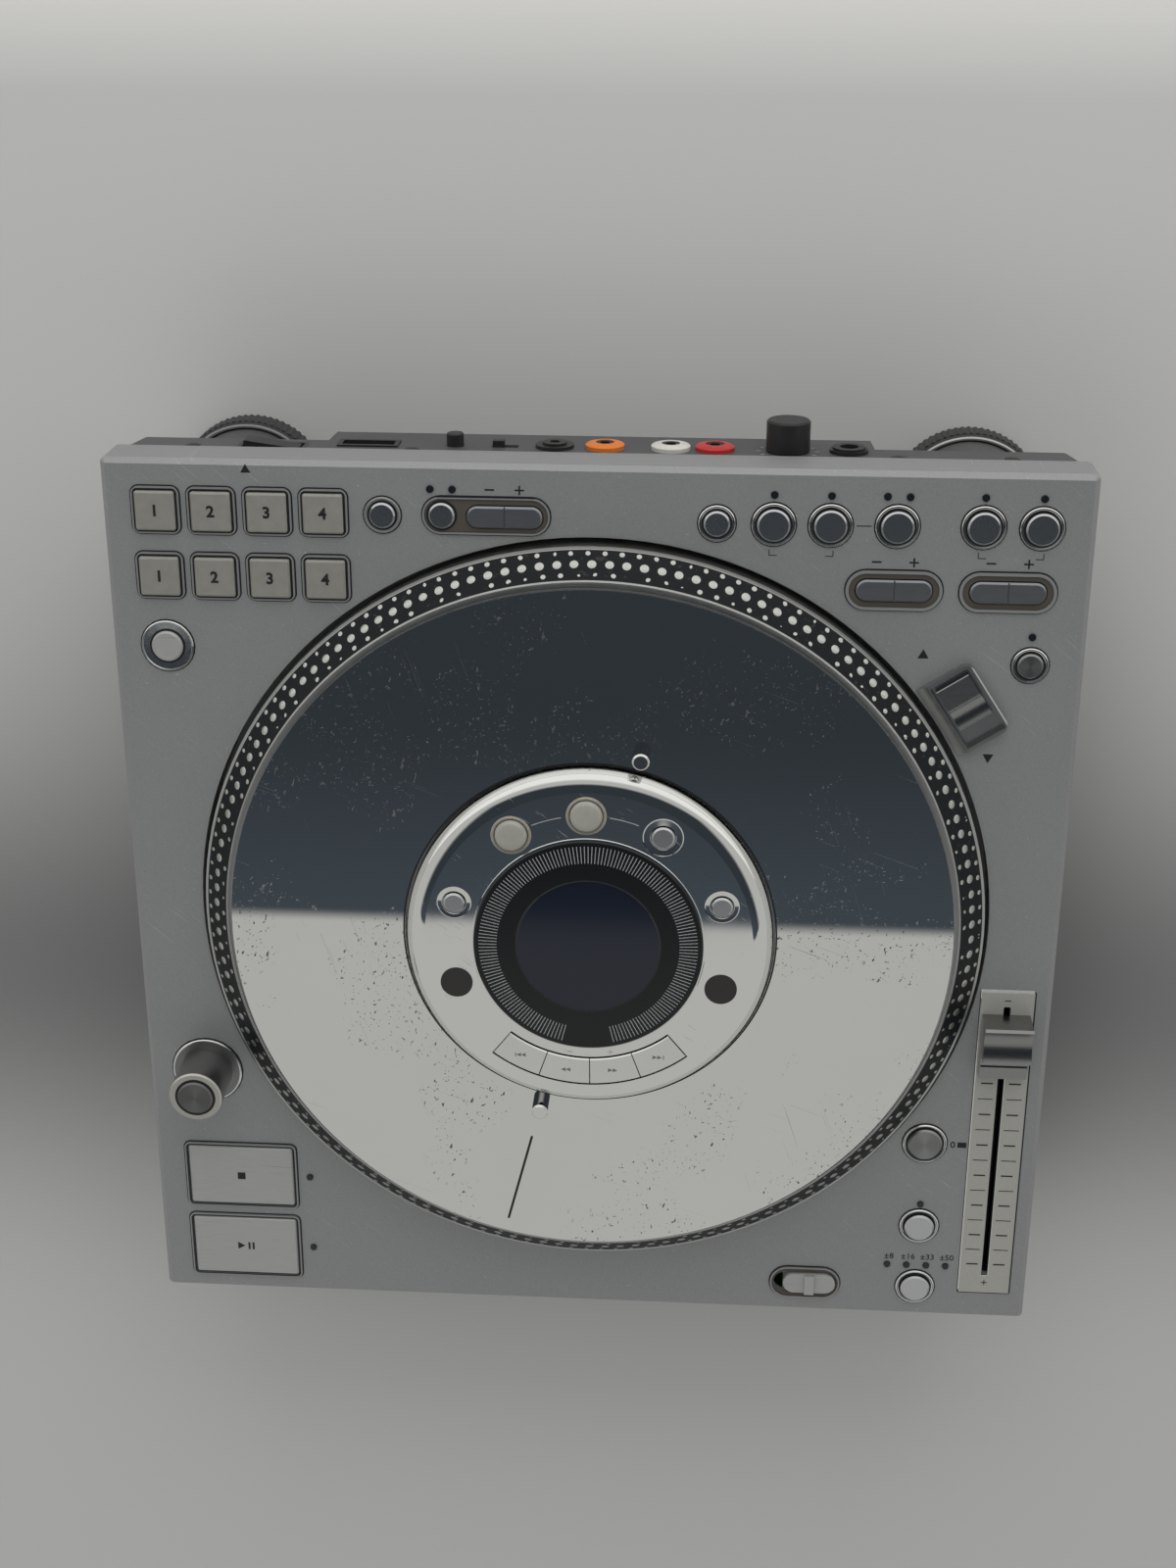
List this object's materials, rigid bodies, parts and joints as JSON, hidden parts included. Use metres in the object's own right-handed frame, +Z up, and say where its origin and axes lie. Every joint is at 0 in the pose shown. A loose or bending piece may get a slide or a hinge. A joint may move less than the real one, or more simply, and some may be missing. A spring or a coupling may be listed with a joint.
{
  "type": "tabletop dj cd player",
  "caption": "Free-standing disc player with a large motor-driven control platter, a fixed hub display, pads, keys, a pitch fader and rear sockets.",
  "frame": {"origin": "bottom centre of the outline, on the surface the feet stand on", "axes": "+Z up, +Y towards the rear sockets, +X to the right seen from the front"},
  "size_m": [0.3318, 0.34, 0.1098],
  "materials": {
    "deck_metal": "satin metallic paint with fine grain",
    "trim_chrome": "polished",
    "platter_black": "satin black rim with bright lands",
    "felt": "fine felt",
    "disc_metal": "polished with fine grooves and scratches",
    "steel": "plated",
    "hub_chrome": "mirror",
    "display_black": "gloss",
    "board_green": "solder mask",
    "base_grey": "satin",
    "jack_black": "moulded",
    "fader_silver": "satin chrome",
    "knob_black": "fine moulded",
    "key_grey": "fine moulded",
    "key_metal": "spun",
    "pad_white": "translucent moulded",
    "foot_rubber": "knurled"
  },
  "bodies": {
    "root": {"top_cover": "deck_metal", "deck_trims": "trim_chrome", "motor_stator": "steel", "hub_housing": "hub_chrome", "display_bezel": "display_black", "circuit_boards": "board_green", "bottom_cover": "base_grey", "disc_drive": "steel", "rear_jacks": "jack_black"},
    "platter": {"platter": "platter_black", "slipmat": "felt"},
    "disc": {"disc": "disc_metal"},
    "memory_button": {"memory_button": "key_metal"},
    "edit_button": {"edit_button": "key_metal"},
    "record_button": {"record_button": "key_metal"},
    "execute_button": {"execute_button": "key_metal"},
    "load_button": {"load_button": "key_metal"},
    "save_button": {"save_button": "key_metal"},
    "panel_button": {"panel_button": "key_metal"},
    "effect_1_button": {"effect_1_button": "key_metal"},
    "effect_2_button": {"effect_2_button": "key_metal"},
    "instant_button": {"instant_button": "key_metal"},
    "reset_button": {"reset_button": "key_metal"},
    "lock_button": {"lock_button": "key_metal"},
    "range_button": {"range_button": "key_metal"},
    "pad_1": {"pad_1": "pad_white"},
    "pad_2": {"pad_2": "pad_white"},
    "pad_3": {"pad_3": "pad_white"},
    "pad_4": {"pad_4": "pad_white"},
    "pad_5": {"pad_5": "pad_white"},
    "pad_6": {"pad_6": "pad_white"},
    "pad_7": {"pad_7": "pad_white"},
    "pad_8": {"pad_8": "pad_white"},
    "cue_key": {"cue_key": "key_metal"},
    "play_key": {"play_key": "key_metal"},
    "free_wheel_button": {"free_wheel_button": "key_metal"},
    "out_button": {"out_button": "pad_white"},
    "in_button": {"in_button": "pad_white"},
    "reloop_button": {"reloop_button": "key_metal"},
    "hub_left_button": {"hub_left_button": "key_metal"},
    "hub_right_button": {"hub_right_button": "key_metal"},
    "arc_key_1": {"arc_key_1": "key_metal"},
    "arc_key_2": {"arc_key_2": "key_metal"},
    "arc_key_3": {"arc_key_3": "key_metal"},
    "arc_key_4": {"arc_key_4": "key_metal"},
    "trim_rocker": {"trim_rocker": "key_metal"},
    "bank_rocker": {"bank_rocker": "key_metal"},
    "type_rocker": {"type_rocker": "key_metal"},
    "mode_slider": {"mode_slider": "key_metal"},
    "pitch_fader": {"pitch_fader": "fader_silver"},
    "direction_switch": {"direction_switch": "fader_silver"},
    "volume_knob": {"volume_knob": "knob_black"},
    "brake_knob": {"brake_knob": "knob_black"},
    "rear_switch": {"rear_switch": "knob_black"},
    "power_rocker": {"power_rocker": "knob_black"},
    "eject_key": {"eject_key": "key_grey"},
    "foot_front_left": {"foot_front_left": "foot_rubber"},
    "foot_rear_left": {"foot_rear_left": "foot_rubber"},
    "foot_front_right": {"foot_front_right": "foot_rubber"},
    "foot_rear_right": {"foot_rear_right": "foot_rubber"}
  },
  "joints": [
    {"name": "platter_spin", "type": "hinge", "parent": "root", "child": "platter", "pos_m": [0, -0.00475, 0.0989], "axis": [0, 0, 1], "continuous": true},
    {"name": "disc_slip", "type": "hinge", "parent": "platter", "child": "disc", "pos_m": [0, -0.00475, 0.0997], "axis": [0, 0, 1], "continuous": true},
    {"name": "memory_button_press", "type": "slide", "parent": "root", "child": "memory_button", "axis": [0, 0, 1], "range_m": [-0.001, 0], "stiffness_N_per_m": 300, "springref_m": 0.001},
    {"name": "edit_button_press", "type": "slide", "parent": "root", "child": "edit_button", "axis": [0, 0, 1], "range_m": [-0.001, 0], "stiffness_N_per_m": 300, "springref_m": 0.001},
    {"name": "record_button_press", "type": "slide", "parent": "root", "child": "record_button", "axis": [0, 0, 1], "range_m": [-0.001, 0], "stiffness_N_per_m": 300, "springref_m": 0.001},
    {"name": "execute_button_press", "type": "slide", "parent": "root", "child": "execute_button", "axis": [0, 0, 1], "range_m": [-0.001, 0], "stiffness_N_per_m": 300, "springref_m": 0.001},
    {"name": "load_button_press", "type": "slide", "parent": "root", "child": "load_button", "axis": [0, 0, 1], "range_m": [-0.001, 0], "stiffness_N_per_m": 300, "springref_m": 0.001},
    {"name": "save_button_press", "type": "slide", "parent": "root", "child": "save_button", "axis": [0, 0, 1], "range_m": [-0.001, 0], "stiffness_N_per_m": 300, "springref_m": 0.001},
    {"name": "panel_button_press", "type": "slide", "parent": "root", "child": "panel_button", "axis": [0, 0, 1], "range_m": [-0.001, 0], "stiffness_N_per_m": 300, "springref_m": 0.001},
    {"name": "effect_1_button_press", "type": "slide", "parent": "root", "child": "effect_1_button", "axis": [0, 0, 1], "range_m": [-0.001, 0], "stiffness_N_per_m": 300, "springref_m": 0.001},
    {"name": "effect_2_button_press", "type": "slide", "parent": "root", "child": "effect_2_button", "axis": [0, 0, 1], "range_m": [-0.001, 0], "stiffness_N_per_m": 300, "springref_m": 0.001},
    {"name": "instant_button_press", "type": "slide", "parent": "root", "child": "instant_button", "axis": [0, 0, 1], "range_m": [-0.001, 0], "stiffness_N_per_m": 300, "springref_m": 0.001},
    {"name": "reset_button_press", "type": "slide", "parent": "root", "child": "reset_button", "axis": [0, 0, 1], "range_m": [-0.001, 0], "stiffness_N_per_m": 300, "springref_m": 0.001},
    {"name": "lock_button_press", "type": "slide", "parent": "root", "child": "lock_button", "axis": [0, 0, 1], "range_m": [-0.001, 0], "stiffness_N_per_m": 300, "springref_m": 0.001},
    {"name": "range_button_press", "type": "slide", "parent": "root", "child": "range_button", "axis": [0, 0, 1], "range_m": [-0.001, 0], "stiffness_N_per_m": 300, "springref_m": 0.001},
    {"name": "pad_1_press", "type": "slide", "parent": "root", "child": "pad_1", "axis": [0, 0, 1], "range_m": [-0.001, 0], "stiffness_N_per_m": 300, "springref_m": 0.001},
    {"name": "pad_2_press", "type": "slide", "parent": "root", "child": "pad_2", "axis": [0, 0, 1], "range_m": [-0.001, 0], "stiffness_N_per_m": 300, "springref_m": 0.001},
    {"name": "pad_3_press", "type": "slide", "parent": "root", "child": "pad_3", "axis": [0, 0, 1], "range_m": [-0.001, 0], "stiffness_N_per_m": 300, "springref_m": 0.001},
    {"name": "pad_4_press", "type": "slide", "parent": "root", "child": "pad_4", "axis": [0, 0, 1], "range_m": [-0.001, 0], "stiffness_N_per_m": 300, "springref_m": 0.001},
    {"name": "pad_5_press", "type": "slide", "parent": "root", "child": "pad_5", "axis": [0, 0, 1], "range_m": [-0.001, 0], "stiffness_N_per_m": 300, "springref_m": 0.001},
    {"name": "pad_6_press", "type": "slide", "parent": "root", "child": "pad_6", "axis": [0, 0, 1], "range_m": [-0.001, 0], "stiffness_N_per_m": 300, "springref_m": 0.001},
    {"name": "pad_7_press", "type": "slide", "parent": "root", "child": "pad_7", "axis": [0, 0, 1], "range_m": [-0.001, 0], "stiffness_N_per_m": 300, "springref_m": 0.001},
    {"name": "pad_8_press", "type": "slide", "parent": "root", "child": "pad_8", "axis": [0, 0, 1], "range_m": [-0.001, 0], "stiffness_N_per_m": 300, "springref_m": 0.001},
    {"name": "cue_key_press", "type": "slide", "parent": "root", "child": "cue_key", "axis": [0, 0, 1], "range_m": [-0.001, 0], "stiffness_N_per_m": 500, "springref_m": 0.001},
    {"name": "play_key_press", "type": "slide", "parent": "root", "child": "play_key", "axis": [0, 0, 1], "range_m": [-0.001, 0], "stiffness_N_per_m": 500, "springref_m": 0.001},
    {"name": "free_wheel_button_press", "type": "slide", "parent": "root", "child": "free_wheel_button", "axis": [0, 0, 1], "range_m": [-0.0015, 0], "stiffness_N_per_m": 300, "springref_m": 0.001},
    {"name": "out_button_press", "type": "slide", "parent": "root", "child": "out_button", "axis": [0, 0, 1], "range_m": [-0.0007, 0], "stiffness_N_per_m": 300, "springref_m": 0.001},
    {"name": "in_button_press", "type": "slide", "parent": "root", "child": "in_button", "axis": [0, 0, 1], "range_m": [-0.0007, 0], "stiffness_N_per_m": 300, "springref_m": 0.001},
    {"name": "reloop_button_press", "type": "slide", "parent": "root", "child": "reloop_button", "axis": [0, 0, 1], "range_m": [-0.0007, 0], "stiffness_N_per_m": 300, "springref_m": 0.001},
    {"name": "hub_left_button_press", "type": "slide", "parent": "root", "child": "hub_left_button", "axis": [0, 0, 1], "range_m": [-0.0007, 0], "stiffness_N_per_m": 300, "springref_m": 0.001},
    {"name": "hub_right_button_press", "type": "slide", "parent": "root", "child": "hub_right_button", "axis": [0, 0, 1], "range_m": [-0.0007, 0], "stiffness_N_per_m": 300, "springref_m": 0.001},
    {"name": "arc_key_1_press", "type": "slide", "parent": "root", "child": "arc_key_1", "axis": [0, 0, 1], "range_m": [-0.0007, 0], "stiffness_N_per_m": 300, "springref_m": 0.001},
    {"name": "arc_key_2_press", "type": "slide", "parent": "root", "child": "arc_key_2", "axis": [0, 0, 1], "range_m": [-0.0007, 0], "stiffness_N_per_m": 300, "springref_m": 0.001},
    {"name": "arc_key_3_press", "type": "slide", "parent": "root", "child": "arc_key_3", "axis": [0, 0, 1], "range_m": [-0.0007, 0], "stiffness_N_per_m": 300, "springref_m": 0.001},
    {"name": "arc_key_4_press", "type": "slide", "parent": "root", "child": "arc_key_4", "axis": [0, 0, 1], "range_m": [-0.0007, 0], "stiffness_N_per_m": 300, "springref_m": 0.001},
    {"name": "trim_rocker_tip", "type": "hinge", "parent": "root", "child": "trim_rocker", "pos_m": [-0.02967, 0.14272, 0.0845], "axis": [0, 1, 0], "range_deg": [-3, 3], "stiffness_Nm_per_rad": 0.6},
    {"name": "bank_rocker_tip", "type": "hinge", "parent": "root", "child": "bank_rocker", "pos_m": [0.10067, 0.12012, 0.0845], "axis": [0, 1, 0], "range_deg": [-3, 3], "stiffness_Nm_per_rad": 0.6},
    {"name": "type_rocker_tip", "type": "hinge", "parent": "root", "child": "type_rocker", "pos_m": [0.13847, 0.12012, 0.0845], "axis": [0, 1, 0], "range_deg": [-3, 3], "stiffness_Nm_per_rad": 0.6},
    {"name": "mode_slide", "type": "slide", "parent": "root", "child": "mode_slider", "axis": [1, 0, 0], "range_m": [-0.0033, 0]},
    {"name": "pitch_slide", "type": "slide", "parent": "root", "child": "pitch_fader", "axis": [0, 1, 0], "range_m": [-0.0906, 0.0154]},
    {"name": "direction_slide", "type": "slide", "parent": "root", "child": "direction_switch", "axis": [0.5519, -0.8339, 0], "range_m": [0, 0.0049]},
    {"name": "volume_knob_turn", "type": "hinge", "parent": "root", "child": "volume_knob", "pos_m": [0.0646, 0.15905, 0.0545], "axis": [0, 1, 0], "range_deg": [-150, 150]},
    {"name": "brake_knob_turn", "type": "hinge", "parent": "root", "child": "brake_knob", "pos_m": [-0.0497, 0.15905, 0.0545], "axis": [0, 1, 0], "range_deg": [-135, 135]},
    {"name": "rear_switch_slide", "type": "slide", "parent": "root", "child": "rear_switch", "axis": [1, 0, 0], "range_m": [0, 0.0044]},
    {"name": "power_rocker_tip", "type": "hinge", "parent": "root", "child": "power_rocker", "pos_m": [-0.1125, 0.15905, 0.0591], "axis": [0, 0, 1], "range_deg": [0, 16]},
    {"name": "eject_press", "type": "slide", "parent": "root", "child": "eject_key", "axis": [0, 1, 0], "range_m": [0, 0.001], "stiffness_N_per_m": 300, "springref_m": -0.001},
    {"name": "foot_front_left_turn", "type": "hinge", "parent": "root", "child": "foot_front_left", "pos_m": [-0.1317, -0.13855, 0], "axis": [0, 0, 1], "range_deg": [-180, 180]},
    {"name": "foot_rear_left_turn", "type": "hinge", "parent": "root", "child": "foot_rear_left", "pos_m": [-0.1317, 0.12905, 0], "axis": [0, 0, 1], "range_deg": [-180, 180]},
    {"name": "foot_front_right_turn", "type": "hinge", "parent": "root", "child": "foot_front_right", "pos_m": [0.1317, -0.13855, 0], "axis": [0, 0, 1], "range_deg": [-180, 180]},
    {"name": "foot_rear_right_turn", "type": "hinge", "parent": "root", "child": "foot_rear_right", "pos_m": [0.1317, 0.12905, 0], "axis": [0, 0, 1], "range_deg": [-180, 180]}
  ]
}
